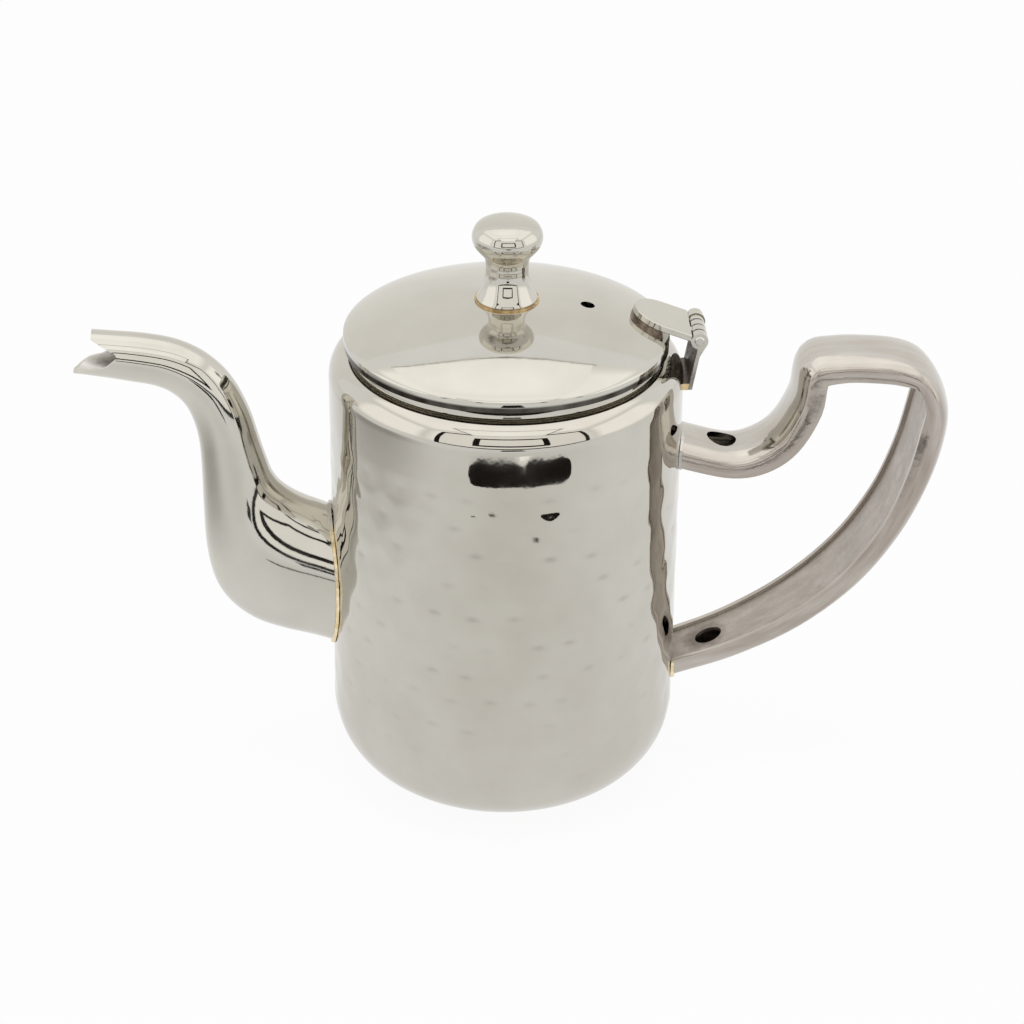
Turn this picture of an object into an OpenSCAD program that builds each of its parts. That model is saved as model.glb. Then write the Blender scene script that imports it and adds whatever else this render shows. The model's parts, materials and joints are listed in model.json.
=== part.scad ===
// Steel teapot with a hinged lid, a swan-neck spout and a hollow strap handle.
// Millimetres. Origin at the centre of the flat base, +Z up, spout towards -X, handle and hinge towards +X.

/* [Body] */
// Outer radius of the straight wall
body_r = 50; // [46:0.5:54]
// Height of the straight wall's top edge, where the shoulder starts
wall_top = 127; // [120:0.5:134]
// Radius of the rounded bottom corner
corner_r = 25; // [18:0.5:27]
// How far the shoulder curves inwards
shoulder_in = 6.5; // [4:0.5:8]
// How far the shoulder rises above the straight wall
shoulder_rise = 7.5; // [5:0.5:9]
// Thickness of the body's sheet
body_t = 1; // [0.6:0.1:1.6]

/* [Strainer] */
// Diameter of each strainer hole
strainer_d = 3; // [2:0.1:4]
// Distance between neighbouring strainer holes
strainer_pitch = 5.5; // [5:0.1:7]
// Number of rings of holes round the middle one
strainer_rings = 2; // [1:1:2]

/* [Lid] */
// How far the lid's rim stands outside the mouth collar
rim_overhang = 2.25; // [1.8:0.05:3.5]
// Gap between the shoulder and the lid's rim
rim_gap = 2.5; // [1.5:0.1:3.5]
// Height of the turned-down rim
rim_h = 3; // [2:0.1:4]
// Rise of the dome above the rim
dome_h = 10.4; // [9:0.1:12]
// Fullness of the dome: 1 is a cone, 2 is an ellipse
dome_power = 1.5; // [1.3:0.05:2.2]
// Thickness of the lid's sheet
lid_t = 1; // [0.6:0.1:1.4]
// Diameter of the steam hole
vent_d = 4; // [2:0.5:6]
// Distance of the steam hole from the middle of the lid
vent_x = 22.6; // [18:0.2:26]
// Clearance between the lid's flange and the mouth collar
flange_gap = 1.2; // [0.8:0.1:2]
// Depth of the flange below its shelf
flange_depth = 6; // [3:0.5:9]
// Thickness of the flange's sheet
flange_t = 1; // [0.6:0.1:1.4]

/* [Knob] */
// Largest radius of the knob's head
knob_r = 9.9; // [8:0.1:12]
// Half the height of the head
knob_half_h = 5.6; // [4:0.1:7]
// Radius of the neck
neck_r = 6; // [4:0.1:7]
// Height of the neck between foot and head
neck_h = 7.5; // [4:0.1:9]
// Radius of the flared foot
foot_r = 8.6; // [7.5:0.1:10.5]
// Height of the flared foot
foot_h = 6.4; // [3:0.1:8]
// Thickness of the foot's edge
foot_edge = 0.9; // [0.5:0.1:1.5]

/* [Hinge] */
// Distance of the pin's axis outside the straight wall
pin_out = 3.5; // [3.1:0.1:6]
// Diameter of the pin
pin_d = 2.8; // [2:0.1:3.2]
// Outer diameter of the knuckles
knuckle_d = 4.8; // [4.6:0.1:6]
// Width of both leaves
leaf_w = 17; // [12:0.5:22]
// Number of knuckles, the outer ones on the body's leaf
knuckles = 5; // [3, 5, 7]
// Gap between neighbouring knuckles
knuckle_gap = 0.3; // [0.2:0.05:0.4]
// Thickness of the lid's leaf
lid_leaf_t = 1.8; // [1.2:0.1:2]
// Length of the lid's leaf from the pin's axis to its round end
lid_leaf_l = 19.2; // [15:0.1:22]
// Downward slope of the lid's leaf towards the pin
lid_leaf_slope = 20.5; // [18:0.5:23]
// Thickness of the body's leaf
body_leaf_t = 1.2; // [1:0.1:1.8]
// Outward lean of the body's leaf
body_leaf_lean = 9.7; // [6:0.1:12]
// Distance of the body leaf's foot below the pin's axis
body_leaf_l = 15; // [13:0.5:18]
// Gap between the body's wall and its leaf, filled with braze
leaf_standoff = 0.7; // [0.4:0.1:1.2]
// Height of that braze above the leaf's foot
leaf_braze_h = 1.9; // [1.2:0.1:3]
// Gap between the lid's dome and its leaf, filled with braze
leaf_braze_t = 0.95; // [0.8:0.05:1.5]

/* [Spout] */
// Thickness of the spout's sheet
spout_t = 1; // [0.6:0.1:1.4]
// Width of the spout at its root, across its two halves
spout_root_w = 27; // [24:0.5:30]
// Width of the spout at its mouth
spout_tip_w = 12.4; // [11:0.2:14]
// Height by which the whole spout is moved up its wall
spout_lift = 0; // [-3:0.5:3]
// Depth of the fish-mouth cut, from the lower lip
mouth_cut = 12.6; // [8:0.2:15]
// How far the lower lip reaches beyond the upper lip
lip_reach = 5.6; // [2:0.2:8]

/* [Handle] */
// Width of the handle at its widest, in the grip
grip_w = 25.6; // [22:0.2:28]
// Width of the handle at its lower root
root_w = 19.4; // [16:0.2:22]
// Width of the handle along its upper arm
arm_w = 21; // [18:0.2:24]
// Height of the crowned face above the side walls
crown_h = 4; // [2.5:0.1:4.2]
// Thickness of the shell's sheet
handle_t = 1.6; // [1:0.1:2]
// Thickness of the flat inner strip
strip_t = 1; // [0.8:0.1:1.4]
// Diameter of the vent hole in the shell
vent_hole_d = 8.4; // [5:0.1:10]
// Diameter of the drain hole in the strip
drain_hole_d = 7.6; // [5:0.1:9]
// Height by which the whole handle is moved up its wall
handle_lift = 0; // [-2:0.5:3]

/* [Brazing] */
// Width of the fillets along the body's wall
fillet_w = 0.9; // [0.6:0.1:1.8]
// Thickness of the fillets off the body's wall
fillet_t = 0.8; // [0.5:0.1:1.4]

/* [Fits] */
// Gap at which the closed lid's parts rest above their seats
seat_gap = 0.3; // [0.2:0.05:0.4]
// Radial clearance of the pin in the lid's knuckles
pin_clearance = 0.05; // [0.02:0.01:0.1]
// Clearance between the lid's rim and its flange, and between the spout and its fillet
seam_gap = 0.05; // [0.04:0.01:0.1]
// Clearance between the strip's edges and the shell's side walls
strip_clearance = 0.1; // [0.05:0.01:0.2]

/* [Hidden] */

$fn = 96;
trim_fn = 240;
steel = [0.78, 0.77, 0.74];
matt_steel = [0.66, 0.62, 0.58];
gold = [0.85, 0.70, 0.40];

// Heights and radii of the pot's mouth
shoulder_top = wall_top + shoulder_rise;
collar_r = body_r - shoulder_in;

// Lid: the shelf of its flange is level with its rim and rests on the collar
lid_r = collar_r + rim_overhang;
rim_z = shoulder_top + rim_gap;
dome_z = rim_z + rim_h;
lid_top = dome_z + dome_h;
collar_top = rim_z - seat_gap;
flange_r = collar_r - body_t - flange_gap;

// Height of the dome at a distance r from the middle
function dome_at(r) = dome_z + dome_h * pow(1 - pow(r / lid_r, dome_power), 1 / dome_power);

// Knob: its foot is hollowed to fit the dome, with a bead of braze round its edge
bead_w = 0.5;
bead_h = 0.35;
knob_lift = 0.1;
knob_z = dome_at(foot_r) + knob_lift;
neck_z = knob_z + foot_h;
head_drop = knob_half_h * sqrt(1 - pow(neck_r / knob_r, 2));
head_z = neck_z + neck_h + head_drop;

// Hinge: the lid's leaf clears the dome by its braze at leaf_seat_r, which sets the height of the pin
pin_x = body_r + pin_out;
leaf_seat_r = lid_r - 7;
pin_z = dome_at(leaf_seat_r) + leaf_braze_t + lid_leaf_t / 2 / cos(lid_leaf_slope)
    - (pin_x - leaf_seat_r) * tan(lid_leaf_slope);
knuckle_r = knuckle_d / 2;
knuckle_pitch = (leaf_w + knuckle_gap) / knuckles;
knuckle_w = knuckle_pitch - knuckle_gap;
foot_z = pin_z - body_leaf_l;
foot_x = body_r + leaf_standoff;

// Spout: [reach of the top edge from the wall, its height, reach of the lower edge, its height, width]
spout_flare = spout_root_w - spout_tip_w;
spout_stations = [
    [-7, 81.5, -7, 39, spout_root_w],
    [2, 85.4, 5, 43.2, spout_root_w],
    [7.5, 87.8, 14, 45.6, spout_tip_w + 0.97 * spout_flare],
    [11.5, 90.2, 22, 48.6, spout_tip_w + 0.9 * spout_flare],
    [14.6, 93, 28.3, 53.3, spout_tip_w + 0.8 * spout_flare],
    [16.6, 96.3, 32.6, 59, spout_tip_w + 0.68 * spout_flare],
    [17.9, 100.2, 35, 66, spout_tip_w + 0.56 * spout_flare],
    [19.3, 105, 36.2, 75, spout_tip_w + 0.45 * spout_flare],
    [20.5, 109.5, 36.5, 86, spout_tip_w + 0.36 * spout_flare],
    [21.8, 114.3, 36.6, 97.5, spout_tip_w + 0.28 * spout_flare],
    [23.6, 119.2, 37, 106.5, spout_tip_w + 0.21 * spout_flare],
    [26.2, 124.6, 38.4, 113.5, spout_tip_w + 0.15 * spout_flare],
    [30, 129.8, 40.8, 118.9, spout_tip_w + 0.12 * spout_flare],
    [35.5, 134.5, 44.5, 122.6, spout_tip_w + 0.1 * spout_flare],
    [42.5, 137.9, 49, 124.7, spout_tip_w + 0.07 * spout_flare],
    [51, 139.7, 55.5, 126, spout_tip_w + 0.05 * spout_flare],
    [60, 140.6, 62, 127.2, spout_tip_w + 0.02 * spout_flare],
    [75, 141.8, 75.5, 129.4, spout_tip_w]
];
spout_steps = 2;
half_steps = 11;
spout_root_z = 64 + spout_lift;
lower_lip_reach = 71.3;
lower_lip_z = 128.9 + spout_lift;
upper_lip_z = 141.4 + spout_lift;
upper_lip_h = 1.5;
mouth_notch_z = 135.5 + spout_lift;
mouth_notch_r = 1.2;

// The lower lip's edge from its tip to the notch, as shares of that distance and of that rise
lip_edge = [[0, 0], [0.07, 0.05], [0.22, 0.22], [0.37, 0.37], [0.53, 0.44], [0.68, 0.49], [0.85, 0.66]];

// Handle: [reach of its middle line from the wall, its height, width, thickness], from the upper root round
handle_stations = [
    [-7, 107.3, arm_w, 7.3], [4, 103.9, arm_w, 7.3], [14.5, 101.6, arm_w, 7.2], [22.4, 103.3, arm_w, 8],
    [29.3, 108.7, arm_w, 8.4], [34.5, 119, arm_w, 8.6], [36.4, 129.4, arm_w + 0.5, 8.4],
    [43.5, 131.6, arm_w + 1, 7.2], [53, 131.6, arm_w + 1.4, 7], [61.5, 130.5, arm_w + 2, 6.7],
    [67.7, 127.6, grip_w - 1.6, 5.6], [71.2, 120.4, grip_w - 0.6, 7.1], [71.4, 111.7, grip_w, 9.2],
    [68, 96.9, grip_w, 9.2], [61.3, 80.4, grip_w, 8.3], [50.3, 64.1, grip_w - 0.6, 7.9],
    [34.9, 50.2, grip_w - 2, 7.5], [17.3, 40.1, root_w + 1.8, 7.2], [1.3, 34, root_w, 7], [-8, 31, root_w, 7]
];
handle_steps = 2;
vent_hole_reach = 11.8;
drain_hole_reach = 10.6;

// A smooth curve through a list of points, of any number of values each
function curve(p, steps) = [
    for (i = [1:len(p) - 3])
        for (k = [0:steps - (i < len(p) - 3 ? 1 : 0)])
            let (t = k / steps)
            0.5 * (2 * p[i] + (p[i + 1] - p[i - 1]) * t
                + (2 * p[i - 1] - 5 * p[i] + 4 * p[i + 1] - p[i + 2]) * t * t
                + (3 * p[i] - 3 * p[i + 1] + p[i + 2] - p[i - 1]) * t * t * t)
];

// The same list with its ends repeated, so that the curve reaches them
function with_ends(p) = concat([2 * p[0] - p[1]], p, [2 * p[len(p) - 1] - p[len(p) - 2]]);

// A closed wall between two lists of rings; each outer ring and its inner ring have as many points,
// and the strip between their ends closes the wall
// flip turns the faces over where the rings run the other way round
module walled_sweep(outer, inner, flip) {
    m = len(outer[0]);
    n = len(outer);
    ring = 2 * m;
    points = [for (i = [0:n - 1]) each concat(outer[i], [for (k = [m - 1:-1:0]) inner[i][k]])];
    sides = [
        for (i = [0:n - 2])
            for (k = [0:ring - 1])
                let (a = i * ring + k, b = i * ring + (k + 1) % ring)
                each [[a, b, b + ring], [a, b + ring, a + ring]]
    ];
    caps = [
        for (k = [0:m - 2])
            let (a = k, b = k + 1, c = ring - 2 - k, d = ring - 1 - k, e = (n - 1) * ring)
            each [[a, d, c], [a, c, b], [a + e, b + e, c + e], [a + e, c + e, d + e]]
    ];
    faces = concat(sides, caps);
    polyhedron(points, flip ? [for (f = faces) [f[0], f[2], f[1]]] : faces);
}

// A solid bar through a list of rings
module solid_sweep(rings) {
    m = len(rings[0]);
    n = len(rings);
    sides = [
        for (i = [0:n - 2])
            for (k = [0:m - 1])
                let (a = i * m + k, b = i * m + (k + 1) % m)
                each [[a, b, b + m], [a, b + m, a + m]]
    ];
    caps = [for (k = [1:m - 2]) each [[0, k + 1, k], [(n - 1) * m, (n - 1) * m + k, (n - 1) * m + k + 1]]];
    polyhedron([for (r = rings) each r], concat(sides, caps));
}

// A sleeve between two lists of closed rings with as many points each
module sleeve_sweep(outer, inner) {
    m = len(outer[0]);
    n = len(outer);
    inside = n * m;
    sides = [
        for (i = [0:n - 2])
            for (k = [0:m - 1])
                let (a = i * m + k, b = i * m + (k + 1) % m, c = inside + a, d = inside + b)
                each [[a, b, b + m], [a, b + m, a + m], [c, d + m, d], [c, c + m, d + m]]
    ];
    caps = [
        for (k = [0:m - 1])
            let (a = k, b = (k + 1) % m, c = inside + a, d = inside + b, e = (n - 1) * m)
            each [[a, d, b], [a, c, d], [a + e, b + e, d + e], [a + e, d + e, c + e]]
    ];
    polyhedron(concat([for (r = outer) each r], [for (r = inner) each r]), concat(sides, caps));
}

// ---- Body ----

// Half section of the pot's outside, shrunk inwards by t, from the axis to the foot of the collar
function pot_outline(t) = concat(
    [[0, t]],
    [for (a = [-90:6:0]) [body_r - corner_r + (corner_r - t) * cos(a), corner_r + (corner_r - t) * sin(a)]],
    [for (a = [0:9:90]) [collar_r + (shoulder_in - t) * cos(a), wall_top + (shoulder_rise - t) * sin(a)]],
    [[0, shoulder_top - t]]
);

// Everything inside the pot's outer surface, which the pieces on its wall are trimmed to
module pot_envelope() {
    rotate(90)
        rotate_extrude($fn = trim_fn)
            polygon(pot_outline(0));
}

module strainer_holes() {
    for (i = [-strainer_rings:strainer_rings])
        for (j = [-strainer_rings:strainer_rings])
            if (abs(i + j) <= strainer_rings)
                translate([-body_r - 1, (i + j / 2) * strainer_pitch,
                    spout_root_z + j * strainer_pitch * sin(60)])
                    rotate([0, 90, 0])
                        cylinder(h = body_r / 4, d = strainer_d, $fn = 32);
}

module body() {
    color(steel)
        difference() {
            rotate_extrude()
                difference() {
                    union() {
                        polygon(pot_outline(0));
                        translate([0, wall_top])
                            square([collar_r, collar_top - wall_top]);
                    }
                    polygon(pot_outline(body_t));
                    translate([0, wall_top])
                        square([collar_r - body_t, collar_top]);
                }
            strainer_holes();
        }
}

// ---- Spout ----

// The spout's middle line and half axes at every ring: [x, z, half axis x, half axis z, half width]
function spout_rings() = [
    for (s = curve(with_ends(spout_stations), spout_steps))
        let (
            top = [-body_r - s[0], s[1] + spout_lift],
            low = [-body_r - s[2], s[3] + spout_lift]
        )
        [(top[0] + low[0]) / 2, (top[1] + low[1]) / 2, (top[0] - low[0]) / 2, (top[1] - low[1]) / 2,
            s[4] / 2]
];

// One ring of the spout grown by t, from angle a0 to a1 in n steps; side is 1 towards +Y and -1 towards -Y
function spout_ring(s, t, a0, a1, n, side) =
    let (h = norm([s[2], s[3]]), g = (h + t) / h)
    [for (k = [0:n]) let (a = a0 + (a1 - a0) * k / n)
        [s[0] + s[2] * g * sin(a), side * (s[4] + t) * cos(a), s[1] + s[3] * g * sin(a)]];

// The fish-mouth cut through the spout's end, seen from the side
module mouth_cutter() {
    tip = -body_r - lower_lip_reach;
    notch = tip + mouth_cut - mouth_notch_r;
    rise = mouth_notch_z - mouth_notch_r - lower_lip_z;
    reach = 20;
    rotate([90, 0, 0])
        linear_extrude(height = 2 * spout_tip_w, center = true)
            polygon(concat(
                [[tip - reach, upper_lip_z + reach], [tip - reach, lower_lip_z - reach],
                    [tip, lower_lip_z - reach]],
                [for (e = lip_edge) [tip + (notch - tip) * e[0], lower_lip_z + rise * e[1]]],
                [for (a = [-60:20:60]) [notch + mouth_notch_r * cos(a),
                    mouth_notch_z + mouth_notch_r * sin(a)]],
                [[tip + lip_reach, upper_lip_z - upper_lip_h], [tip + lip_reach, upper_lip_z + reach]]
            ));
}

module spout_half(side) {
    color(steel)
        difference() {
            walled_sweep(
                [for (s = spout_rings()) spout_ring(s, 0, -90, 90, half_steps, side)],
                [for (s = spout_rings()) spout_ring(s, -spout_t, -90, 90, half_steps, side)],
                side > 0
            );
            pot_envelope();
            mouth_cutter();
        }
}

module spout_left_half() {
    spout_half(1);
}

module spout_right_half() {
    spout_half(-1);
}

// The wall's own surface carried outwards by t, which gives the fillets their thickness
module wall_layer(t) {
    translate([0, 0, corner_r / 2])
        rotate(90)
            cylinder(h = wall_top, r = body_r + t, $fn = trim_fn);
}

// The part of a sleeve round a root that lies on the wall, as the fillet that joins the root to it
module on_wall() {
    difference() {
        intersection() {
            children();
            wall_layer(fillet_t);
        }
        pot_envelope();
    }
}

// A whole ring of the spout grown by t, with the same corners as its two halves
function whole_ring(s, t) = spout_ring(s, t, -90, 270 - 180 / half_steps, 2 * half_steps - 1, 1);

module spout_braze() {
    root = [for (i = [0:3 * spout_steps]) spout_rings()[i]];
    color(gold)
        on_wall()
            sleeve_sweep([for (s = root) whole_ring(s, fillet_w)], [for (s = root) whole_ring(s, seam_gap)]);
}

// ---- Handle ----

handle_line = curve(with_ends(handle_stations), handle_steps);

// Outward direction of the handle's line at ring i, towards its crowned face
function handle_normal(i) =
    let (
        a = handle_line[max(i - 1, 0)],
        b = handle_line[min(i + 1, len(handle_line) - 1)],
        d = [b[0] - a[0], b[1] - a[1]] / norm([b[0] - a[0], b[1] - a[1]])
    )
    [-d[1], d[0]];

// A list of [across, outwards] points set up at ring i
function handle_place(i, outline) =
    let (s = handle_line[i], n = handle_normal(i))
    [for (p = outline) [body_r + s[0] + n[0] * p[1], p[0], s[1] + handle_lift + n[1] * p[1]]];

// The channel's outline at ring i, grown by t: up one side, over the crown and down the other side
function channel_ring(i, t) =
    let (
        s = handle_line[i],
        half = s[2] / 2 + t,
        foot = -s[3] / 2,
        spring = s[3] / 2 - crown_h,
        crown = [for (a = [0:12:180]) [half * cos(a), spring + (crown_h + t) * sin(a)]]
    )
    handle_place(i, concat([[half, foot]], crown, [[-half, foot]]));

// The channel's wall from one offset to another, through the rings from first to last
module channel_wall(first, last, outer_t, inner_t) {
    walled_sweep(
        [for (i = [first:last]) channel_ring(i, outer_t)],
        [for (i = [first:last]) channel_ring(i, inner_t)],
        false
    );
}

module handle_shell() {
    color(steel)
        difference() {
            channel_wall(0, len(handle_line) - 1, 0, -handle_t);
            pot_envelope();
            translate([body_r + vent_hole_reach, 0, handle_stations[2][1] + handle_lift])
                cylinder(h = 2 * crown_h, d = vent_hole_d);
        }
}

module handle_strip() {
    last = len(handle_line) - 1;
    edge = handle_t + strip_clearance;
    color(matt_steel)
        difference() {
            solid_sweep([
                for (i = [0:last])
                    let (s = handle_line[i], half = s[2] / 2 - edge, low = -s[3] / 2, high = low + strip_t)
                    handle_place(i, [[half, low], [half, high], [-half, high], [-half, low]])
            ]);
            pot_envelope();
            translate([body_r + drain_hole_reach, 0, handle_stations[17][1] + handle_lift - crown_h])
                cylinder(h = 4 * crown_h, d = drain_hole_d);
        }
}

module handle_upper_weld() {
    color(steel)
        on_wall()
            channel_wall(0, 2 * handle_steps, fillet_w, 0);
}

module handle_lower_braze() {
    last = len(handle_line) - 1;
    color(gold)
        on_wall()
            channel_wall(last - 3 * handle_steps, last, fillet_w, 0);
}

// ---- Lid ----

// The dome's outline from its foot to the axis, shrunk by t
function dome_outline(t) = [
    for (a = [0:5:90])
        [(lid_r - t) * pow(cos(a), 2 / dome_power), dome_z + (dome_h - t) * pow(sin(a), 2 / dome_power)]
];

// Everything under the dome's outer surface, which the pieces on the lid are trimmed to
module lid_envelope() {
    rotate_extrude()
        polygon(concat([[0, rim_z], [lid_r, rim_z]], dome_outline(0)));
}

module lid() {
    color(steel)
        difference() {
            rotate_extrude()
                difference() {
                    polygon(concat([[0, rim_z], [lid_r, rim_z]], dome_outline(0)));
                    polygon(concat([[0, rim_z - 1], [lid_r - lid_t, rim_z - 1]], dome_outline(lid_t)));
                }
            translate([vent_x, 0, dome_z])
                cylinder(h = 2 * dome_h, d = vent_d, $fn = 48);
        }
}

module lid_flange() {
    color(matt_steel)
        rotate_extrude() {
            translate([flange_r - flange_t, rim_z - flange_depth])
                square([flange_t, flange_depth + flange_t]);
            translate([flange_r - flange_t, rim_z])
                square([lid_r - lid_t - seam_gap - flange_r + flange_t, flange_t]);
        }
}

module knob() {
    foot = [for (a = [0:10:90]) [foot_r - (foot_r - neck_r) * sin(a),
        knob_z + foot_edge + (foot_h - foot_edge) * (1 - cos(a))]];
    start = -asin(head_drop / knob_half_h);
    head = [for (k = [0:16]) let (a = start + (90 - start) * k / 16)
        [knob_r * cos(a), head_z + knob_half_h * sin(a)]];
    color(steel)
        difference() {
            rotate_extrude()
                polygon(concat([[0, knob_z], [foot_r, knob_z]], foot, head));
            lid_envelope();
        }
}

module knob_braze() {
    color(gold)
        difference() {
            translate([0, 0, dome_z])
                cylinder(h = knob_z + bead_h - dome_z, r = foot_r + bead_w);
            translate([0, 0, dome_z])
                cylinder(h = 2 * dome_h, r = foot_r);
            lid_envelope();
        }
}

// ---- Hinge ----

// Knuckle number k, as a cylinder of radius r grown endways by gap
module knuckle(k, r, gap) {
    translate([pin_x, -leaf_w / 2 + k * knuckle_pitch - gap, pin_z])
        rotate([-90, 0, 0])
            cylinder(h = knuckle_w + 2 * gap, r = r);
}

// Even knuckles belong to the body's leaf and odd ones to the lid's
module knuckle_row(first, r, gap) {
    for (k = [first:2:knuckles - 1])
        knuckle(k, r, gap);
}

module pin_bore(clearance) {
    translate([pin_x, 0, pin_z])
        rotate([90, 0, 0])
            cylinder(h = 2 * leaf_w, r = pin_d / 2 + clearance, center = true);
}

// The tongue's outline, laid along its slope and extruded from low to high about its middle plane
module tongue(low, high) {
    translate([pin_x, 0, pin_z])
        rotate([0, lid_leaf_slope, 0])
            translate([0, 0, low])
                linear_extrude(height = high - low) {
                    translate([-lid_leaf_l + leaf_w / 2, 0])
                        circle(r = leaf_w / 2);
                    translate([-lid_leaf_l + leaf_w / 2, -leaf_w / 2])
                        square([lid_leaf_l - leaf_w / 2, leaf_w]);
                }
}

module lid_hinge_leaf() {
    color(steel)
        difference() {
            union() {
                tongue(-lid_leaf_t / 2, lid_leaf_t / 2);
                knuckle_row(1, knuckle_r, 0);
            }
            knuckle_row(0, knuckle_r + knuckle_gap, knuckle_gap);
            pin_bore(pin_clearance);
        }
}

module lid_leaf_braze() {
    color(gold)
        difference() {
            intersection() {
                tongue(-lid_leaf_t / 2 - 3 * leaf_braze_t, -lid_leaf_t / 2);
                cylinder(h = 2 * lid_top, r = lid_r - 2);
            }
            lid_envelope();
        }
}

// Side view of the body's leaf: a leaning plate that runs into the outer side of its knuckles
function leaf_kink() =
    let (rise = pin_z - 2 * knuckle_r - foot_z)
    [foot_x + rise * tan(body_leaf_lean), foot_z + rise];

module body_hinge_leaf() {
    kink = leaf_kink();
    outer_kink = [kink[0] + body_leaf_t, kink[1]];
    to_pin = [pin_x, pin_z] - outer_kink;
    tangent_angle = atan2(to_pin[1], to_pin[0]) - asin(knuckle_r / norm(to_pin));
    tangent_length = sqrt(pow(norm(to_pin), 2) - pow(knuckle_r, 2));
    tangent = outer_kink + tangent_length * [cos(tangent_angle), sin(tangent_angle)];
    color(steel)
        difference() {
            union() {
                rotate([90, 0, 0])
                    linear_extrude(height = leaf_w, center = true)
                        polygon([[foot_x, foot_z], [foot_x + body_leaf_t, foot_z], outer_kink, tangent,
                            [pin_x, pin_z], kink]);
                knuckle_row(0, knuckle_r, 0);
            }
            knuckle_row(1, knuckle_r + knuckle_gap, knuckle_gap);
            pin_bore(0);
        }
}

module body_leaf_braze() {
    top_z = foot_z + leaf_braze_h;
    color(gold)
        difference() {
            rotate([90, 0, 0])
                linear_extrude(height = leaf_w, center = true)
                    polygon([[body_r - 3, foot_z], [foot_x, foot_z],
                        [foot_x + (top_z - foot_z) * tan(body_leaf_lean), top_z], [body_r - 3, top_z]]);
            pot_envelope();
        }
}

module hinge_pin() {
    color(steel)
        translate([pin_x, 0, pin_z])
            rotate([90, 0, 0])
                cylinder(h = leaf_w + 2 * knuckle_gap, d = pin_d, center = true);
}

body();
spout_left_half();
spout_right_half();
spout_braze();
handle_shell();
handle_strip();
handle_upper_weld();
handle_lower_braze();
lid();
lid_flange();
knob();
knob_braze();
lid_hinge_leaf();
lid_leaf_braze();
body_hinge_leaf();
body_leaf_braze();
hinge_pin();
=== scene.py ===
# %% [markdown]
# # A hammered steel teapot
# The pot is a drawn steel cylinder with a hammered wall, a hinged lid with a turned knob, a
# swan-neck spout made of two pressed halves, and a hollow strap handle. Its solids come from the
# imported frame. Here each one gets the shape detail and the finish that the eye sees: dimples, soft
# edges, polish.

# %% The frame and its sizes
import json
import math

import bpy
import numpy as np
from mathutils import Euler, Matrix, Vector


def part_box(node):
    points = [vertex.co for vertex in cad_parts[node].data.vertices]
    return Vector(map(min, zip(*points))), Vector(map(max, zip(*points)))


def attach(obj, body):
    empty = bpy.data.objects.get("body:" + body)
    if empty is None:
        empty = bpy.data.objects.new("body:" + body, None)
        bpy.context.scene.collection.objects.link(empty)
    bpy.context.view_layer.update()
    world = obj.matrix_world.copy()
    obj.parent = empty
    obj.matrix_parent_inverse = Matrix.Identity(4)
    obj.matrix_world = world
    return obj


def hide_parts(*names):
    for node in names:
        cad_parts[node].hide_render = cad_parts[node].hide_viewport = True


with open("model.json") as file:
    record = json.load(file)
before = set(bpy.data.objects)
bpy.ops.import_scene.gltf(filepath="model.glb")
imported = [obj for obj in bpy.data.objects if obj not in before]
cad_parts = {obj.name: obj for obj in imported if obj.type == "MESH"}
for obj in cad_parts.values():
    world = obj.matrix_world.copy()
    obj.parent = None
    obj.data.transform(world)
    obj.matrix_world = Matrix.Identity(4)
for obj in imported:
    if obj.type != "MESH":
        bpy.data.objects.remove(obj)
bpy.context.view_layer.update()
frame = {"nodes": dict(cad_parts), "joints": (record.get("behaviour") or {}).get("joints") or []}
MM = 0.001
POT = "pot"
LID = "lid_assembly"
POT_LOW, POT_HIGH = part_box("body")
WALL_R = (POT_HIGH[0] - POT_LOW[0]) / 2
COLLAR_TOP = POT_HIGH[2]
LID_LOW, LID_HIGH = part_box("lid")
LID_R = LID_HIGH[0]
RIM_Z = LID_LOW[2]
LID_TOP = LID_HIGH[2]
HINGE = next(j for j in frame["joints"] if j["name"] == "lid_hinge")
SHEET = 1.0 * MM
print("pot wall radius", round(WALL_R, 4), "collar top", round(COLLAR_TOP, 4),
      "lid top", round(LID_TOP, 4))

# %% [markdown]
# ## Turning, as on a lathe
# The pot, the lid and the knob are round, so each is half an outline, drawn point by point and spun
# round the pot's axis. These are the extrude and spin tools, called so that each step can be read.

# %% Drawing and spinning an outline
def clear_selection():
    if bpy.context.object and bpy.context.object.mode == "EDIT":
        bpy.ops.object.mode_set(mode="OBJECT")
    bpy.ops.object.select_all(action="DESELECT")


def pick(piece):
    """Makes the piece the only one that the next tool works on."""
    clear_selection()
    piece.select_set(True)
    bpy.context.view_layer.objects.active = piece


def draw_outline(name, points, closed=False):
    """A chain of edges through the points, left in edit mode with all of it selected."""
    clear_selection()
    bpy.ops.mesh.primitive_plane_add(size=MM, location=(0, 0, 0))
    piece = bpy.context.object
    piece.name = name
    piece.data.name = name
    bpy.ops.object.mode_set(mode="EDIT")
    bpy.ops.mesh.select_all(action="SELECT")
    bpy.ops.mesh.merge(type="CENTER")
    bpy.ops.transform.translate(value=points[0])
    for a, b in zip(points, points[1:]):
        step = tuple(q - p for p, q in zip(a, b))
        bpy.ops.mesh.extrude_vertices_move(TRANSFORM_OT_translate={"value": step})
    bpy.ops.mesh.select_all(action="SELECT")
    if closed:
        bpy.ops.mesh.remove_doubles(threshold=MM / 1000)


def close_up():
    """Welds the seams of the piece being edited, points its faces outwards, leaves edit mode."""
    bpy.ops.mesh.select_all(action="SELECT")
    bpy.ops.mesh.remove_doubles(threshold=MM / 1000)
    bpy.ops.mesh.normals_make_consistent(inside=False)
    bpy.ops.object.mode_set(mode="OBJECT")
    return bpy.context.object


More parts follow.
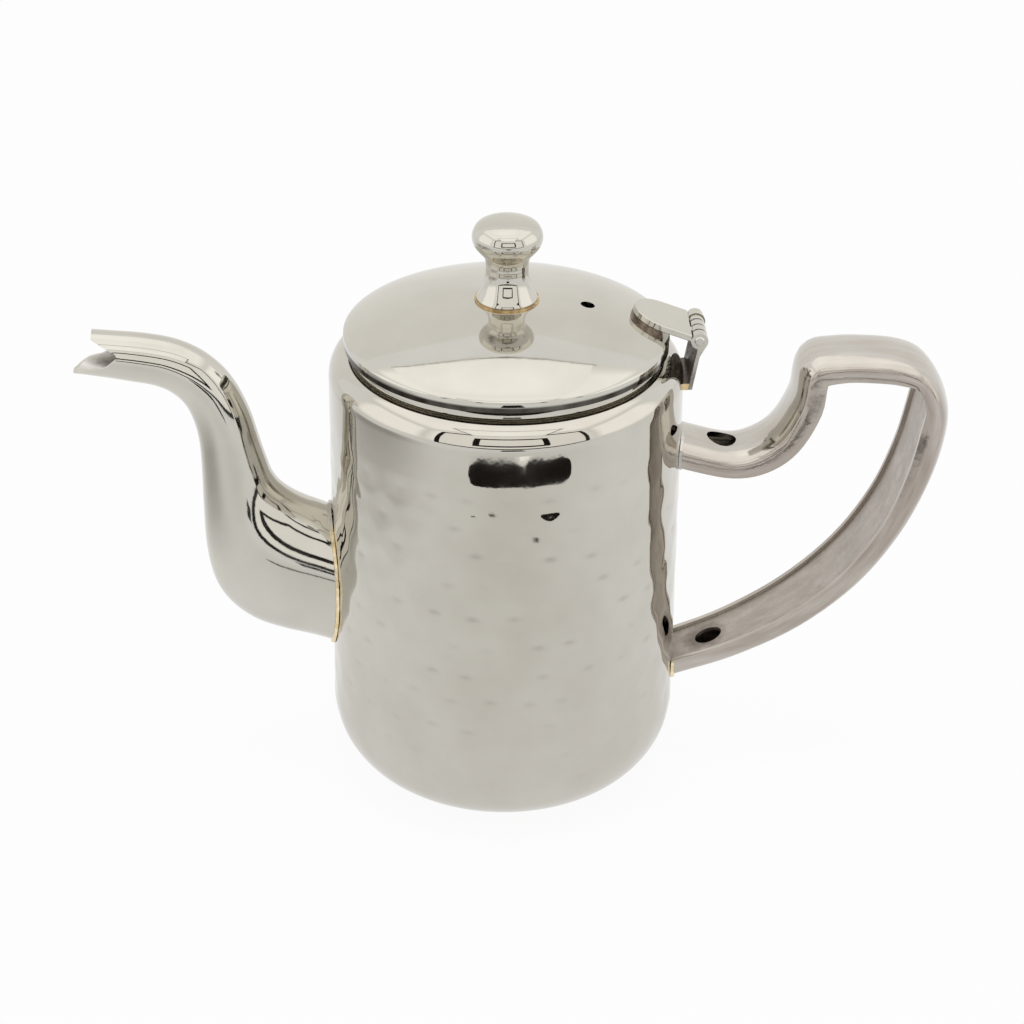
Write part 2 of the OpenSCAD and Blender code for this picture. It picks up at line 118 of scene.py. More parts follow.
def turned(name, outline, steps):
    """A lathe piece: the outline of (radius, height) points, spun round the pot's axis."""
    draw_outline(name, [(r, 0, z) for r, z in outline])
    bpy.ops.mesh.spin(steps=steps, angle=2 * math.pi, center=(0, 0, 0), axis=(0, 0, 1))
    return close_up()


print("points closer than", MM / 1000, "m are joined")

# %% [markdown]
# ## Polished steel
# Every visible piece is bare metal, so its colour is the colour of its reflections. Polished steel
# is a light warm grey mirror. A slow noise changes the roughness a little, as rubbing does, and a
# fine one gives the last ripple that polishing leaves. A painted texture could do this too, but a
# noise has no seam, and it can be changed by one number.

# %% The metal's tools, and the plain mirror finish
def new_metal(name, colour):
    material = bpy.data.materials.new(name)
    material.use_nodes = True
    shader = material.node_tree.nodes["Principled BSDF"]
    shader.inputs["Base Color"].default_value = (*colour, 1)
    shader.inputs["Metallic"].default_value = 1
    return material, material.node_tree, shader


def noise(tree, scale, detail=3.0):
    place = tree.nodes.new("ShaderNodeTexCoord")
    texture = tree.nodes.new("ShaderNodeTexNoise")
    texture.inputs["Scale"].default_value = scale
    texture.inputs["Detail"].default_value = detail
    tree.links.new(place.outputs["Object"], texture.inputs["Vector"])
    return texture.outputs["Fac"]


def map_range(tree, value, start, stop, low=0.0, high=1.0, kind="LINEAR"):
    """Goes from low to high as the value goes from start to stop."""
    node = tree.nodes.new("ShaderNodeMapRange")
    node.interpolation_type = kind
    for end, number in zip(("From Min", "From Max", "To Min", "To Max"), (start, stop, low, high)):
        node.inputs[end].default_value = number
    tree.links.new(value, node.inputs["Value"])
    return node.outputs["Result"]


def spread(tree, source, low, high):
    """Maps a noise's middle range to low..high."""
    return map_range(tree, source, 0.3, 0.7, low, high)


def add_bump(tree, shader, source, height):
    bump = tree.nodes.new("ShaderNodeBump")
    bump.inputs["Distance"].default_value = height
    bump.inputs["Strength"].default_value = 1
    tree.links.new(source, bump.inputs["Height"])
    tree.links.new(bump.outputs["Normal"], shader.inputs["Normal"])


def add_tones(tree, shader, source, dark, light):
    """Two tones of the metal, with a soft border where the noise passes its middle."""
    ramp = tree.nodes.new("ShaderNodeValToRGB")
    for element, position, tone in zip(ramp.color_ramp.elements, (0.35, 0.65), (dark, light)):
        element.position = position
        element.color = (*tone, 1)
    tree.links.new(source, ramp.inputs["Fac"])
    tree.links.new(ramp.outputs["Color"], shader.inputs["Base Color"])


def polished_steel(name, light=(0.61, 0.592, 0.535), dark=(0.575, 0.555, 0.5),
                   rough=(0.03, 0.075), ripple=0.02):
    """Steel between two tones and two roughnesses, with a ripple of that many millimetres."""
    material, tree, shader = new_metal(name, light)
    add_tones(tree, shader, noise(tree, 60), dark, light)
    tree.links.new(spread(tree, noise(tree, 90, 4), *rough), shader.inputs["Roughness"])
    add_bump(tree, shader, noise(tree, 260, 2), ripple * MM)
    return material


MIRROR = polished_steel("mirror polished steel", ripple=0.012)
print("made", MIRROR.name)

# %% [markdown]
# ## Stains
# Steel keeps a dark scale where the wheel did not reach, and heat leaves it brown. Here, though, the
# dark dashes on the wall, the dark line on the lid's rim and the brown in the hinge's gaps are
# painted shade and painted reflection. A stain is a second colour laid over the first, by an amount
# that comes from a point's place on the piece. So it stays on its spot at every pose, and it needs
# no picture.

# %% The stain's tools
def axis_of(tree, axis, kind="Object"):
    """A point's place along one axis of its own piece, or that part of its normal."""
    split = tree.nodes.new("ShaderNodeSeparateXYZ")
    tree.links.new(tree.nodes.new("ShaderNodeTexCoord").outputs[kind], split.inputs[0])
    return split.outputs[axis]


def place_on(tree, axis, start, stop, kind="Object"):
    """0 to 1 as a point's place (or its normal) goes from start to stop along an axis."""
    return map_range(tree, axis_of(tree, axis, kind), start, stop)


def calc(tree, operation, *values):
    """A sum on numbers and on other nodes' outputs, kept between 0 and 1."""
    node = tree.nodes.new("ShaderNodeMath")
    node.operation = operation
    node.use_clamp = True
    for socket, value in zip(node.inputs, values):
        if isinstance(value, bpy.types.NodeSocket):
            tree.links.new(value, socket)
        else:
            socket.default_value = value
    return node.outputs[0]


def stain(tree, shader, amount, colour):
    """Lays a stain over the tones that the shader already has."""
    mix = tree.nodes.new("ShaderNodeMix")
    mix.data_type = "RGBA"
    mix.inputs[7].default_value = (*colour, 1)
    before = shader.inputs["Base Color"].links[0].from_socket
    tree.links.new(amount, mix.inputs[0])
    tree.links.new(before, mix.inputs[6])
    tree.links.new(mix.outputs[2], shader.inputs["Base Color"])


def steel_with(name, *args, stains=(), **settings):
    """Polished steel with stains: each one an amount, made in the material's tree, and a colour."""
    material = polished_steel(name, *args, **settings)
    tree = material.node_tree
    for amount, colour in stains:
        stain(tree, tree.nodes["Principled BSDF"], amount(tree), colour)
    return material


def attribute(tree, name):
    """A number that the piece's points carry."""
    node = tree.nodes.new("ShaderNodeAttribute")
    node.attribute_name = name
    return node.outputs["Fac"]


# The wall's dark stain is painted reflection: dark dashes at the hammer's blows, and two small dark
# pits.
HAMMERED = steel_with(
    "polished hammered steel", (0.6, 0.578, 0.522), (0.565, 0.542, 0.486), (0.015, 0.045), 0.006,
    stains=[(lambda tree: attribute(tree, "painted_dashes_and_grit_pits"), (0.07, 0.055, 0.045))])
print("made", HAMMERED.name)

# %% [markdown]
# ## The pot
# The real pot is one drawn sheet: a flat base, a rounded bottom, a straight wall, a rounded
# shoulder, and a short collar that the lid sits over. All of it is round, so its outline, outside
# and inside, is spun. The wall gets far more points than its shape needs, for the dents that come
# next.

# %% The pot's outline, spun
CORNER_R = 25 * MM
WALL_TOP = 127 * MM
SHOULDER_TOP = 134.5 * MM
COLLAR_R = 43.5 * MM
LIP = 0.3 * MM
BASE_RING = 8 * MM
WALL_STEP = 0.75 * MM
AROUND = 416


def arc(centre, radii, start, stop, count):
    return [(centre[0] + radii[0] * math.cos(a), centre[1] + radii[1] * math.sin(a))
            for a in np.radians(np.linspace(start, stop, count))]


def pot_outline():
    corner = (WALL_R - CORNER_R, CORNER_R)
    shoulder = (WALL_R - COLLAR_R, SHOULDER_TOP - WALL_TOP)
    outside = [(0, 0), (WALL_R - CORNER_R - BASE_RING, 0)]
    outside += arc(corner, (CORNER_R, CORNER_R), -90, 0, 40)
    outside += [(WALL_R, z) for z in np.arange(CORNER_R + WALL_STEP, WALL_TOP, WALL_STEP)]
    outside += arc((COLLAR_R, WALL_TOP), shoulder, 0, 88, 14)
    outside += arc((COLLAR_R - LIP, COLLAR_TOP - LIP), (LIP, LIP), 0, 90, 4)
    inner = (shoulder[0], shoulder[1] - SHEET)
    inside = arc((COLLAR_R - SHEET + LIP, COLLAR_TOP - LIP), (LIP, LIP), 90, 180, 4)
    inside += arc((COLLAR_R - SHEET, WALL_TOP), inner, 86, 0, 10)
    inside += arc(corner, (CORNER_R - SHEET, CORNER_R - SHEET), 0, -90, 14) + [(0, SHEET)]
    return outside + inside


pot = turned("hammered_pot", pot_outline(), AROUND)
print("the pot has", len(pot.data.vertices), "points")

# %% [markdown]
# ## The hammer's dents
# A smith's hammer, or rolls that copy it, leaves rows of shallow round-cornered dents in the wall.
# A dent is a hollow, not paint, so it is made in the mesh: each point of the wall sinks into the
# deepest hollow near it, and the hollows meet in soft ridges. A hard blow also leaves a small pip.
# At each blow a short dark dash is painted, darker higher up: painted reflection of dark things.

# %% The dents
DENT_PITCH = 11.3 * MM
ROW_PITCH = 9.2 * MM
DENT_DEPTH = 0.22 * MM
DENT_R = 0.62 * DENT_PITCH
DENT_LOW = 20 * MM
DENT_HIGH = 113 * MM
RIDGE_SOFTNESS = 0.2 * DENT_DEPTH
PIP_R = 1.5 * MM
PIP_DEPTH = 0.12 * MM
# Painted reflection: the size of the dark dash at each blow, and how dark it gets at most.
DASH_SIZE = (1.7 * MM, 0.75 * MM)
DARKEST_DASH = 0.4
GRIT_SIZE = (0.85 * MM, 0.6 * MM)
GRIT_PITS = [(-5.5 * MM, 108.3 * MM), (6.6 * MM, 100.4 * MM)]
SMITH = np.random.default_rng(7)


def dent_centres():
    """Angle, height and strength of each blow, in staggered rows."""
    columns = round(2 * math.pi * WALL_R / DENT_PITCH)
    for i, z in enumerate(np.arange(DENT_LOW, DENT_HIGH, ROW_PITCH)):
        for k in range(columns):
            slip = SMITH.normal(0, 0.1, 2) * DENT_PITCH
            angle = (k + 0.5 * (i % 2)) * 2 * math.pi / columns
            yield angle + slip[0] / WALL_R, z + slip[1] * 0.6, SMITH.uniform(0.75, 1.2)


def ramp(values, start, stop, low=0):
    """0 (or low) to 1 as the values go from start to stop."""
    return np.clip((values - start) / (stop - start), low, 1)


def outer_wall(coords):
    """The points on the outside of the wall and of the rounded bottom."""
    radius = np.hypot(coords[:, 0], coords[:, 1])
    from_corner = np.hypot(np.clip(CORNER_R - coords[:, 2], 0, CORNER_R),
                           radius - (WALL_R - CORNER_R))
    on_skin = np.abs(from_corner - CORNER_R) < 0.3 * SHEET
    outer = np.flatnonzero(on_skin & (coords[:, 2] < WALL_TOP) & (radius > 0.8 * WALL_R))
    return outer, radius[outer]


def strike(angle, height):
    """How deep each point sinks under all the blows, and how dark its painted reflection dash is."""
    pull, pips, painted_dashes = np.zeros((3, len(angle)))
    for a, z, strength in dent_centres():
        across = ((angle - a + math.pi) % (2 * math.pi) - math.pi) * WALL_R
        distance = np.hypot(across, height - z)
        near = distance < 1.1 * DENT_PITCH
        hollow = DENT_DEPTH * strength * (1 - (distance[near] / DENT_R) ** 2)
        pull[near] += np.exp(hollow / RIDGE_SOFTNESS)
        pip = np.exp(-(distance[near] / PIP_R) ** 2)
        pips[near] += PIP_DEPTH * max(0, strength - 0.7) * 2 * pip
        streak = np.exp(-(across[near] / DASH_SIZE[0]) ** 2
                        - ((height[near] - z) / DASH_SIZE[1]) ** 2)
        painted_dashes[near] += max(0, strength - 0.85) * ramp(z, 10 * MM, 90 * MM, 0.2) * streak
    return RIDGE_SOFTNESS * np.log1p(pull) + pips, painted_dashes


def hammer(piece):
    coords = np.empty(len(piece.data.vertices) * 3)
    piece.data.vertices.foreach_get("co", coords)
    coords = coords.reshape(-1, 3)
    outer, radius = outer_wall(coords)
    angle = np.arctan2(coords[outer, 1], coords[outer, 0])
    height = coords[outer, 2]
    sink, painted_dashes = strike(angle, height)
    fade = ramp(height, DENT_HIGH + 3 * MM, DENT_HIGH - 5 * MM) * ramp(height, 12 * MM, 28 * MM)
    coords[outer, :2] *= (1 - sink * fade / radius)[:, None]
    piece.data.vertices.foreach_set("co", coords.ravel())
    # Painted reflection dashes and two small dark pits, kept on the points for the wall's dark
    # stain.
    kept = np.zeros(len(coords))
    kept[outer] = np.clip(painted_dashes * fade, 0, DARKEST_DASH)
    front = outer[angle < 0]
    for x, z in GRIT_PITS:
        gap = (((coords[front, 0] - x) / GRIT_SIZE[0]) ** 2
               + ((coords[front, 2] - z) / GRIT_SIZE[1]) ** 2)
        kept[front] += 1.2 * np.exp(-gap ** 2)
    kept = np.clip(kept, 0, 1)
    piece.data.attributes.new("painted_dashes_and_grit_pits", "FLOAT", "POINT").data.foreach_set("value", kept)
    piece.data.update()
    print("dents sink up to", round(float(sink.max()) / MM, 3), "mm on", len(outer), "points")


hammer(pot)

# %% [markdown]
# ## Handing a piece over
# Each finished piece stands for one node of the frame, moves with one body, and has one finish. Its
# faces are shaded smooth up to an angle, so that a curve reads as a curve and an edge as an edge.

# %% Finishing the pot
def finish_piece(piece, node, body, material, edge_angle=32, inside=None):
    """Shades the piece, gives it its finish, and lets it stand for the frame's node."""
    hidden = [face.material_index == 1 for face in piece.data.polygons]
    pick(piece)
    bpy.ops.object.shade_smooth_by_angle(angle=math.radians(edge_angle))
    piece.data.materials.clear()
    piece.data.materials.append(material)
    if inside:
        piece.data.materials.append(inside)
        piece.data.polygons.foreach_set("material_index", [int(face) for face in hidden])
    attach(piece, body)
    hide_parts(node)
    print(piece.name, len(piece.data.polygons), "faces", [round(v, 4) for v in piece.dimensions])


finish_piece(pot, "body", POT, HAMMERED, 50)

# %% [markdown]
# ## The lid
# The lid is a shallow dome, pressed and then polished on a wheel, with a turned-down rim and a
# small steam hole. It is spun from half its outline, and the steam hole is cut out with a rod, as a
# punch would. A dark line is painted on the lowest edge of the rim: painted shade, for the shadow
# in the gap between the lid and the pot.

# %% Cutting, as with a punch or a saw
def apply_modifier(piece, kind, **settings):
    bpy.context.view_layer.objects.active = piece
    modifier = piece.modifiers.new(kind.title(), kind)
    for key, value in settings.items():
        setattr(modifier, key, value)
    bpy.ops.object.modifier_apply(modifier=modifier.name)


def cut(piece, *cutters):
    """Cuts the cutters out of the piece and throws them away."""
    for cutter in cutters:
        apply_modifier(piece, "BOOLEAN", operation="DIFFERENCE", solver="EXACT", object=cutter)
        bpy.data.objects.remove(cutter)


def rod(centre, radius, length, corners=64):
    """A round, upright cutter."""
    clear_selection()
    bpy.ops.mesh.primitive_cylinder_add(vertices=corners, radius=radius, depth=length,
                                        location=centre)
    bpy.ops.object.transform_apply(location=True, rotation=True, scale=True)
    return bpy.context.object


# %% The lid, spun and punched
RIM_HEIGHT = 3 * MM
DOME_POWER = 1.5
VENT_X = 22.6 * MM
VENT_R = 2 * MM
EDGE = 0.25 * MM


# Painted shade: a dark band on the rim's lowest edge, for the shadow in the gap under the lid.
def rim_painted_shade(tree):
    low = place_on(tree, "Z", RIM_Z + 2.1 * MM, RIM_Z + 1.5 * MM)
    return calc(tree, "MULTIPLY", low, spread(tree, noise(tree, 120, 3), 0.8, 1.0))


def dome_points(inset, count):
    """The dome from its top to its edge, as radius and height."""
    rise = LID_TOP - RIM_Z - RIM_HEIGHT - inset
    angles = np.linspace(math.pi / 2, 0, count)[1:]
    return [(0, RIM_Z + RIM_HEIGHT + rise)] + [
        ((LID_R - inset) * math.cos(a) ** (2 / DOME_POWER),
         RIM_Z + RIM_HEIGHT + rise * math.sin(a) ** (2 / DOME_POWER)) for a in angles]


LID_STEEL = steel_with("polished lid steel", rough=(0.035, 0.07), ripple=0.008,
                       stains=[(rim_painted_shade, (0.032, 0.026, 0.022))])
rim = [(LID_R, RIM_Z + EDGE), (LID_R - EDGE, RIM_Z), (LID_R - SHEET + EDGE, RIM_Z),
       (LID_R - SHEET, RIM_Z + EDGE)]
lid = turned("domed_lid", dome_points(0, 48) + rim + dome_points(SHEET, 24)[::-1], 192)
cut(lid, rod((VENT_X, 0, LID_TOP), VENT_R, 20 * MM, corners=48))
finish_piece(lid, "lid", LID, LID_STEEL)

# %% [markdown]
# ## The knob
# The knob is turned from solid bar, with a flared foot that is brazed to the lid. A turner works to
# a few measured diameters and lets the tool run smoothly between them. So a smooth line is drawn
# through a few radii and heights, and spun.

# %% The knob, spun
KNOB_LOW, KNOB_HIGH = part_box("knob")
KNOB_R = KNOB_HIGH[0]
FOOT_R = 8.6 * MM
NECK_R = 6 * MM
FOOT_PLAY = 0.02 * MM
KNOB_ROWS = [
    (FOOT_R, 0.4), (FOOT_R - 0.1 * MM, 1.0), (7.7 * MM, 2.4), (6.9 * MM, 4.0), (6.3 * MM, 5.8),
    (NECK_R, 7.8), (NECK_R, 9.8), (6.1 * MM, 11.8), (6.7 * MM, 13.3), (8.1 * MM, 14.9),
    (9.4 * MM, 16.7), (KNOB_R, 18.7), (9.45 * MM, 20.8), (8.1 * MM, 22.5), (5.4 * MM, 23.55),
    (2.4 * MM, 23.9), (0, 23.94)]


def smooth_line(rows, steps):
    """A smooth curve through rows of numbers, with the given number of steps between two rows."""
    p = np.array(rows, float)
    p = np.vstack([2 * p[0] - p[1], p, 2 * p[-1] - p[-2]])
    out = []
    for i in range(1, len(p) - 2):
        for k in range(steps):
            t = k / steps
            out.append(0.5 * (2 * p[i] + (p[i + 1] - p[i - 1]) * t
                              + (2 * p[i - 1] - 5 * p[i] + 4 * p[i + 1] - p[i + 2]) * t * t
                              + (3 * p[i] - 3 * p[i + 1] + p[i + 2] - p[i - 1]) * t ** 3))
    return np.array(out + [p[-2]])


seat = [(r, z + FOOT_PLAY) for r, z in dome_points(0, 48) if r < FOOT_R - 0.4 * MM]
profile = smooth_line([(r, KNOB_LOW[2] + h * MM) for r, h in KNOB_ROWS], 5)
knob = turned("turned_knob", seat + [tuple(p) for p in profile], 96)
finish_piece(knob, "knob", LID, MIRROR, 40)

# %% [markdown]
# ## The spout
# A swan neck can't be drawn in one press, so it is pressed as two mirrored halves and joined along
# the middle. Here the whole neck is one oval outline pushed along a path: at each station it is
# extruded, turned, stretched and moved. Then it gets the sheet's thickness, and it is cut where it
# meets the pot and at its fish-mouth end. Its inside keeps the dull skin of the pressing.

# %% Pushing an outline along a path
def swept(name, outline, stations, closed=False):
    """Pushes an outline of (up, across) points along stations of (x, z, tilt, up, across)."""
    x, z, tilt, up, across = stations[0]
    draw_outline(name, [(u, v, 0) for u, v in outline], closed)
    bpy.ops.transform.resize(value=(up, across, 1), center_override=(0, 0, 0))
    bpy.ops.transform.rotate(value=tilt, orient_axis="Y", center_override=(0, 0, 0))
    bpy.ops.transform.translate(value=(x, 0, z))
    for here, then in zip(stations, stations[1:]):
        centre = (here[0], 0, here[1])
        growth = (then[3] / here[3], then[4] / here[4], 1)
        bpy.ops.mesh.extrude_region_move(TRANSFORM_OT_translate={"value": (0, 0, 0)})
        bpy.ops.transform.rotate(value=-here[2], orient_axis="Y", center_override=centre)
        bpy.ops.transform.resize(value=growth, center_override=centre)
        bpy.ops.transform.rotate(value=then[2], orient_axis="Y", center_override=centre)
        bpy.ops.transform.translate(value=(then[0] - here[0], 0, then[1] - here[1]))
    return close_up()


def pot_rod():
    """A cutter a little thinner than the pot, so that what it trims still reaches into the wall."""
    return rod((0, 0, 80 * MM), WALL_R - 0.03 * MM, 160 * MM, corners=256)


# %% The neck, pushed along its path
# Each row: the neck's upper edge (x, z), its lower edge (x, z) and its half width, in millimetres.
SPOUT_ROWS = [
    (-43, 81.5, -43, 39, 13.5), (-52, 85.4, -55, 43.2, 13.5), (-57.5, 87.8, -64, 45.6, 13.28),
    (-61.5, 90.2, -72, 48.6, 12.77), (-64.6, 93, -78.3, 53.3, 12.04),
    (-66.6, 96.3, -82.6, 59, 11.16), (-67.9, 100.2, -85, 66, 10.29), (-69.3, 105, -86.2, 75, 9.49),
    (-70.5, 109.5, -86.5, 86, 8.83), (-71.8, 114.3, -86.6, 97.5, 8.24),
    (-73.6, 119.2, -87, 106.5, 7.73), (-76.2, 124.6, -88.4, 113.5, 7.3),
    (-80, 129.8, -90.8, 118.9, 7.08), (-85.5, 134.5, -94.5, 122.6, 6.93),
    (-92.5, 137.9, -99, 124.7, 6.71), (-101, 139.7, -105.5, 126, 6.57),
    (-110, 140.6, -112, 127.2, 6.35), (-125, 141.8, -125.5, 129.4, 6.2)]
UNPOLISHED = polished_steel("unpolished inside", (0.72, 0.7, 0.66), (0.5, 0.48, 0.45),
                            (0.3, 0.45), 0.05)


def spout_stations():
    for x1, z1, x0, z0, half in smooth_line(SPOUT_ROWS, 5) * MM:
        up = math.hypot(x1 - x0, z1 - z0) / 2
        yield (x1 + x0) / 2, (z1 + z0) / 2, math.atan2(z1 - z0, x1 - x0), up, half


oval = [(math.cos(a), math.sin(a)) for a in np.linspace(0, 2 * math.pi, 65)]
spout = swept("spout", oval, list(spout_stations()), closed=True)
spout.data.materials.append(MIRROR)
spout.data.materials.append(UNPOLISHED)
apply_modifier(spout, "SOLIDIFY", thickness=SHEET, offset=-1, use_even_offset=True,
               material_offset=1)
cut(spout, pot_rod())
print("the neck has", len(spout.data.polygons), "faces")

# %% [markdown]
# ## The fish mouth
# The end of the spout is cut like a fish's open mouth, with a long lower lip that guides the last
# drop back. The notch is the same all the way across, so its side view is drawn as a face, pushed
# through from side to side, and cut out.

# %% The notch
MOUTH_TIP, MOUTH_NOTCH = -121.3 * MM, -109.9 * MM
MOUTH_LOW, MOUTH_MIDDLE = 128.9 * MM, 135.5 * MM
MOUTH_UPPER = (MOUTH_TIP + 5.6 * MM, 139.9 * MM)
NOTCH_R = 1.2 * MM
# The lower lip's edge, as shares of the notch's depth and of its height.
LIP_LINE = [(0, 0), (0.07, 0.05), (0.22, 0.22), (0.37, 0.37), (0.53, 0.44), (0.68, 0.49),
            (0.85, 0.66)]


def fish_mouth_cutter():
    """The notch from the side: a spoon-like lower lip, a short upper one, a round corner."""
    rise = MOUTH_MIDDLE - NOTCH_R - MOUTH_LOW
    beyond, over, under = MOUTH_TIP - 20 * MM, 162 * MM, 109 * MM
    side = [(beyond, over), (beyond, under), (MOUTH_TIP, under)]
    side += [(MOUTH_TIP + (MOUTH_NOTCH - MOUTH_TIP) * t, MOUTH_LOW + rise * h) for t, h in LIP_LINE]
    side += arc((MOUTH_NOTCH, MOUTH_MIDDLE), (NOTCH_R, NOTCH_R), -60, 60, 9)
    side += [MOUTH_UPPER, (MOUTH_UPPER[0], over), side[0]]
    draw_outline("mouth cutter", [(x, -20 * MM, z) for x, z in side], closed=True)
    bpy.ops.mesh.edge_face_add()
    bpy.ops.mesh.extrude_region_move(TRANSFORM_OT_translate={"value": (0, 40 * MM, 0)})
    return close_up()


cut(spout, fish_mouth_cutter())

# %% [markdown]
# ## The two pressings
# The halves meet in a seam down the middle, which is welded and ground away. Cutting one neck in
# two gives halves that match at every point.

# %% Sawing the neck into its two halves
def half_of(whole, name, side, node):
    half = whole.copy()
    half.data = whole.data.copy()
    half.name = name
    bpy.context.collection.objects.link(half)
    pick(half)
    bpy.ops.object.mode_set(mode="EDIT")
    bpy.ops.mesh.select_all(action="SELECT")
    bpy.ops.mesh.bisect(plane_co=(0, 0, 0), plane_no=(0, -side, 0), use_fill=True,
                        clear_outer=True)
    bpy.ops.object.mode_set(mode="OBJECT")
    finish_piece(half, node, POT, MIRROR, 40, inside=UNPOLISHED)


half_of(spout, "spout_half_left", 1, "spout_left_half")
half_of(spout, "spout_half_right", -1, "spout_right_half")
bpy.data.objects.remove(spout)

# %% [markdown]
# ## The handle
# The handle is a channel with a crowned back, bent to a loop, and a flat strip welded into its open
# side, so it is hollow and stays cool. Both are an outline pushed along the same line.

# %% The handle's line
# Each row: x and z of the line, then the handle's width and its depth, in millimetres.
HANDLE_ROWS = [
    (43, 107.3, 21, 7.3), (54, 103.9, 21, 7.3), (64.5, 101.6, 21, 7.2), (72.4, 103.3, 21, 8),
    (79.3, 108.7, 21, 8.4), (84.5, 119, 21, 8.6), (86.4, 129.4, 21.5, 8.4), (93.5, 131.6, 22, 7.2),
    (103, 131.6, 22.4, 7), (111.5, 130.5, 23, 6.7), (117.7, 127.6, 24, 5.6),
    (121.2, 120.4, 25, 7.1), (121.24, 111.7, 25.6, 9.2), (118, 96.9, 25.6, 9.2),
    (111.3, 80.4, 25.6, 8.3), (100.3, 64.1, 25, 7.9), (84.9, 50.2, 23.6, 7.5),
    (67.3, 40.1, 21.2, 7.2), (51.3, 34, 19.4, 7), (42, 31, 19.4, 7)]
CHANNEL_SHEET = 1.6 * MM
PLATE = 1.0 * MM
SLACK = 0.1 * MM


def handle_stations(half_width, half_depth, outwards):
    """The line moved outwards, sized by the three functions of its width and depth."""
    line = smooth_line(HANDLE_ROWS, 5) * MM
    for i, (x, z, width, depth) in enumerate(line):
        before, after = line[max(i - 1, 0)], line[min(i + 1, len(line) - 1)]
        tilt = math.atan2(after[0] - before[0], -(after[1] - before[1]))
        shift = outwards(depth)
        yield (x + shift * math.cos(tilt), z + shift * math.sin(tilt), tilt,
               half_depth(depth), half_width(width))


def measure_along(piece):
    """Keeps in each point how far along the handle's line it is, and how far out from it."""
    line = smooth_line(HANDLE_ROWS, 5)[:, :2] * MM
    steps = np.diff(line, axis=0)
    lengths = np.hypot(*steps.T)
    passed = np.concatenate([[0], np.cumsum(lengths)])
    coords = np.array([tuple(v.co) for v in piece.data.vertices])[:, [0, 2]]
    from_start = coords[:, None] - line[:-1]
    share = np.clip((from_start * steps).sum(2) / (steps ** 2).sum(1), 0, 1)
    gaps = from_start - share[..., None] * steps
    reach = np.hypot(gaps[..., 0], gaps[..., 1])
    nearest = reach.argmin(1)
    rows = np.arange(len(coords))
    along = passed[nearest] + share[rows, nearest] * lengths[nearest]
    for name, values in (("along", along), ("outwards", reach[rows, nearest])):
        piece.data.attributes.new(name, "FLOAT", "POINT").data.foreach_set("value", values)
    print(piece.name, "runs", round(float(along.max()), 3), "m")


# %% [markdown]
# ## The handle's finish
# The channel is polished by hand, lengthwise, so its streaks follow the bend, and its flat sides are
# painted darker brown than the crown. A noise that is drawn out along the handle's own length gives
# such streaks. One on the world's axes would run straight through the bends.

# %% Streaked steel
def lengthwise(tree, along, across):
    """Noise drawn out along a bent piece, on the distances that are kept in its points."""
    join = tree.nodes.new("ShaderNodeCombineXYZ")
    tree.links.new(attribute(tree, "along"), join.inputs["X"])
    tree.links.new(axis_of(tree, "Y"), join.inputs["Y"])
    tree.links.new(attribute(tree, "outwards"), join.inputs["Z"])
    mapping = tree.nodes.new("ShaderNodeMapping")
    mapping.inputs["Scale"].default_value = (along, across, across)
    texture = tree.nodes.new("ShaderNodeTexNoise")
    texture.inputs["Scale"].default_value = 1
    texture.inputs["Detail"].default_value = 4
    tree.links.new(join.outputs[0], mapping.inputs["Vector"])
    tree.links.new(mapping.outputs["Vector"], texture.inputs["Vector"])
    return texture.outputs["Fac"]


# Darker brown streaks laid on the channel's two flat sides.
def side_brown_streaks(tree):
    near = place_on(tree, "Y", 8.6 * MM, 11.2 * MM)
    far = place_on(tree, "Y", -8.6 * MM, -11.2 * MM)
    both = calc(tree, "ADD", near, far)
    return calc(tree, "MULTIPLY", both, spread(tree, lengthwise(tree, 50, 520), 0.15, 0.75))


def crown_tarnish(tree):
    return spread(tree, lengthwise(tree, 45, 420), 0.0, 0.35)


HANDLE_STEEL = steel_with(
    "rubbed handle steel", (0.62, 0.595, 0.55), (0.55, 0.525, 0.48), (0.07, 0.18), 0.05,
    stains=[(crown_tarnish, (0.42, 0.36, 0.31)), (side_brown_streaks, (0.3, 0.24, 0.2))])
print("made", HANDLE_STEEL.name)

# %% [markdown]
# ## The channel
# A press folds the channel from sheet: two sides and a crowned back. So its outline is one open
# line, which gets its thickness afterwards. The vent hole near its upper end lets hot air out.

# %% The channel, pushed along the line
CROWN = 4.0 * MM
HALF_DEPTH = 3.7 * MM
VENT = ((61.8 * MM, 0, 108 * MM), 4.2 * MM, 13 * MM)


def crowned_outline():
    """One side up, over the crown and down the other side, in half depths and half widths."""
    spring = 1 - CROWN / HALF_DEPTH
    crown = [(spring + (1 - spring) * math.sin(a), math.cos(a))
             for a in np.linspace(0, math.pi, 25)]
    return [(-1, 1), (-0.5, 1)] + crown + [(-0.5, -1), (-1, -1)]


shell = swept("handle_channel", crowned_outline(),
              list(handle_stations(lambda w: w / 2, lambda d: d / 2, lambda d: 0)))
apply_modifier(shell, "SOLIDIFY", thickness=CHANNEL_SHEET, offset=-1, use_even_offset=True)
apply_modifier(shell, "BEVEL", width=0.35 * MM, segments=3, limit_method="ANGLE",
               angle_limit=math.radians(50))
cut(shell, pot_rod(), rod(*VENT))
measure_along(shell)
finish_piece(shell, "handle_shell", POT, HANDLE_STEEL, 40)

# %% [markdown]
# ## The strip
# The strip that closes the channel was never polished: it has a streaky, brownish rolled skin, and
# the heat of the weld left a dark patch round its drain hole. Its outline is one straight line.

# %% The strip and its rolled skin
DRAIN = (60.6 * MM, 0, 40 * MM)
DRAIN_R = 3.8 * MM
SCALE_CENTRE = (60.6 * MM, 0, 36 * MM)
SCALE_RAGGED = 5 * MM


